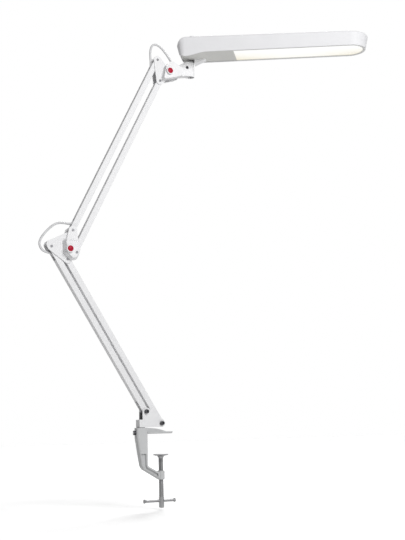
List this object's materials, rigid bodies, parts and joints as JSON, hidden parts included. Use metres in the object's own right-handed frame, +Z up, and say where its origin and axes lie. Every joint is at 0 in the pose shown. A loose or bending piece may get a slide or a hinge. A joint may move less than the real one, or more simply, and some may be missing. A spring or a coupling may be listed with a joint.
{
  "type": "architect lamp",
  "caption": "Clamp-on architect lamp: C-clamp, parallelogram arms, friction elbow, tilting and swivelling long LED head.",
  "frame": {"origin": "on the clamp screw's axis at the underside of the upper jaw, where it rests on the edge of a table", "axes": "+Z up along the clamp screw, +X from the clamp's spine out over the table, which is towards the head at rest; the arms lie in the XZ plane"},
  "size_m": [0.6631, 0.2462, 0.9744],
  "materials": {
    "white_paint": "satin powder coat",
    "white_plastic": "fine matt moulding",
    "grey_plastic": "matt",
    "opal": "opal diffuser",
    "steel": "plain zinc",
    "dark_steel": "blackened",
    "red": "gloss",
    "black_rubber": "matt",
    "nylon": "matt",
    "cord": "smooth cable sheath",
    "board": "circuit board",
    "led": "phosphor"
  },
  "bodies": {
    "clamp": {"clamp_body": "white_paint"},
    "lock_screw": {"spigot_lock_screw": "steel"},
    "pad": {"pressure_pad": "steel"},
    "screw": {"clamp_screw": "steel"},
    "tommy": {"tommy_bar": "steel"},
    "base": {"base_bracket": "white_paint", "spigot": "steel", "base_washer": "nylon", "cable_sleeve": "black_rubber", "base_pivot_bolts": "dark_steel", "base_pivot_nuts": "dark_steel", "base_pivot_washers": "steel", "base_pivot_bushes": "nylon"},
    "lower_rear": {"lower_rear_bar": "white_paint", "lower_cord_gland": "black_rubber"},
    "lower_front": {"lower_front_bar": "white_paint"},
    "elbow_lower": {"elbow_bracket": "white_paint", "elbow_bracket_pins": "dark_steel", "elbow_bracket_bushes": "nylon", "elbow_spacer": "nylon", "elbow_friction_washers": "nylon"},
    "elbow_upper": {"elbow_block_front": "white_plastic", "elbow_block_rear": "white_plastic", "elbow_block_pins": "dark_steel", "elbow_block_bushes": "nylon", "elbow_bolt": "steel", "elbow_cord": "cord"},
    "elbow_grip": {"elbow_knob": "white_plastic", "elbow_knob_cap": "red"},
    "upper_rear": {"upper_rear_bar": "white_paint", "upper_cord_glands": "black_rubber"},
    "upper_front": {"upper_front_bar": "white_paint"},
    "head_link": {"head_bracket": "white_paint", "head_bracket_pins": "dark_steel", "head_bracket_bushes": "nylon", "head_spacer": "nylon", "head_friction_washers": "nylon"},
    "knuckle": {"knuckle": "white_plastic", "knuckle_bolt": "steel", "pinch_screw": "dark_steel", "knuckle_cord_gland": "black_rubber", "head_cord": "cord"},
    "head_grip": {"head_knob": "white_plastic", "head_knob_cap": "red"},
    "head": {"swivel_pin": "steel", "swivel_nut": "steel", "swivel_washer": "nylon", "swivel_mount": "white_plastic", "head_shade": "white_plastic", "head_panel": "grey_plastic", "panel_screws": "steel", "diffuser": "opal", "led_board": "board", "led_chips": "led", "driver_board": "board", "driver_parts": "nylon", "switch_body": "nylon"},
    "switch": {"switch_button": "white_plastic"}
  },
  "joints": [
    {"name": "base_swivel", "type": "hinge", "parent": "clamp", "child": "base", "pos_m": [-0.042, 0, 0.0132], "axis": [0, 0, 1], "continuous": true},
    {"name": "lock_screw_turn", "type": "hinge", "parent": "clamp", "child": "lock_screw", "pos_m": [-0.0535, 0, 0.0025], "axis": [1, 0, 0], "range_deg": [-180, 180]},
    {"name": "pad_slide", "type": "slide", "parent": "clamp", "child": "pad", "axis": [0, 0, 1], "range_m": [-0.02, 0.034]},
    {"name": "screw_turn", "type": "hinge", "parent": "pad", "child": "screw", "pos_m": [0, 0, -0.0435], "axis": [0, 0, 1], "range_deg": [-3601, 6121]},
    {"name": "tommy_slide", "type": "slide", "parent": "screw", "child": "tommy", "axis": [1, 0, 0], "range_m": [-0.019, 0.027]},
    {"name": "lower_arm", "type": "hinge", "parent": "base", "child": "lower_rear", "pos_m": [-0.0333, 0, 0.0442], "axis": [0, 1, 0], "range_deg": [-4, 70], "deforming": ["elbow_cord"]},
    {"name": "lower_front_pivot", "type": "hinge", "parent": "base", "child": "lower_front", "pos_m": [-0.00045, 0, 0.02051], "axis": [0, 1, 0], "range_deg": [-4, 70]},
    {"name": "elbow_level", "type": "hinge", "parent": "lower_rear", "child": "elbow_lower", "pos_m": [-0.22803, 0, 0.36701], "axis": [0, 1, 0], "range_deg": [-70, 4], "deforming": ["elbow_cord"]},
    {"name": "elbow", "type": "hinge", "parent": "elbow_lower", "child": "elbow_upper", "pos_m": [-0.19493, 0, 0.36161], "axis": [0, 1, 0], "range_deg": [-28, 10], "deforming": ["elbow_cord"]},
    {"name": "elbow_knob_turn", "type": "hinge", "parent": "elbow_upper", "child": "elbow_grip", "pos_m": [-0.19493, -0.022, 0.36161], "axis": [0, 1, 0], "range_deg": [-180, 180]},
    {"name": "upper_arm", "type": "hinge", "parent": "elbow_upper", "child": "upper_rear", "pos_m": [-0.18533, 0, 0.40091], "axis": [0, 1, 0], "range_deg": [-16, 70], "deforming": ["elbow_cord", "head_cord"]},
    {"name": "upper_front_pivot", "type": "hinge", "parent": "elbow_upper", "child": "upper_front", "pos_m": [-0.18047, 0, 0.35537], "axis": [0, 1, 0], "range_deg": [-16, 70]},
    {"name": "head_level", "type": "hinge", "parent": "upper_rear", "child": "head_link", "pos_m": [0.00496, 0, 0.78093], "axis": [0, 1, 0], "range_deg": [-70, 16], "deforming": ["head_cord"]},
    {"name": "head_tilt", "type": "hinge", "parent": "head_link", "child": "knuckle", "pos_m": [0.02636, 0, 0.75473], "axis": [0, 1, 0], "range_deg": [-40, 45], "deforming": ["head_cord"]},
    {"name": "head_knob_turn", "type": "hinge", "parent": "knuckle", "child": "head_grip", "pos_m": [0.02636, -0.022, 0.75473], "axis": [0, 1, 0], "range_deg": [-180, 180]},
    {"name": "head_swivel", "type": "hinge", "parent": "knuckle", "child": "head", "pos_m": [0.08607, 0, 0.78713], "axis": [0, 0, 1], "range_deg": [-28, 120]},
    {"name": "switch_press", "type": "slide", "parent": "head", "child": "switch", "axis": [0, 0, -1], "range_m": [0, 0.0016], "stiffness_N_per_m": 900}
  ],
  "couplings": [
    {"joint": "screw_turn", "follows": "pad_slide", "rad_per_m": 3141.6},
    {"joint": "lower_front_pivot", "follows": "lower_arm", "ratio": 1},
    {"joint": "elbow_level", "follows": "lower_arm", "ratio": -1},
    {"joint": "upper_front_pivot", "follows": "upper_arm", "ratio": 1},
    {"joint": "head_level", "follows": "upper_arm", "ratio": -1}
  ]
}
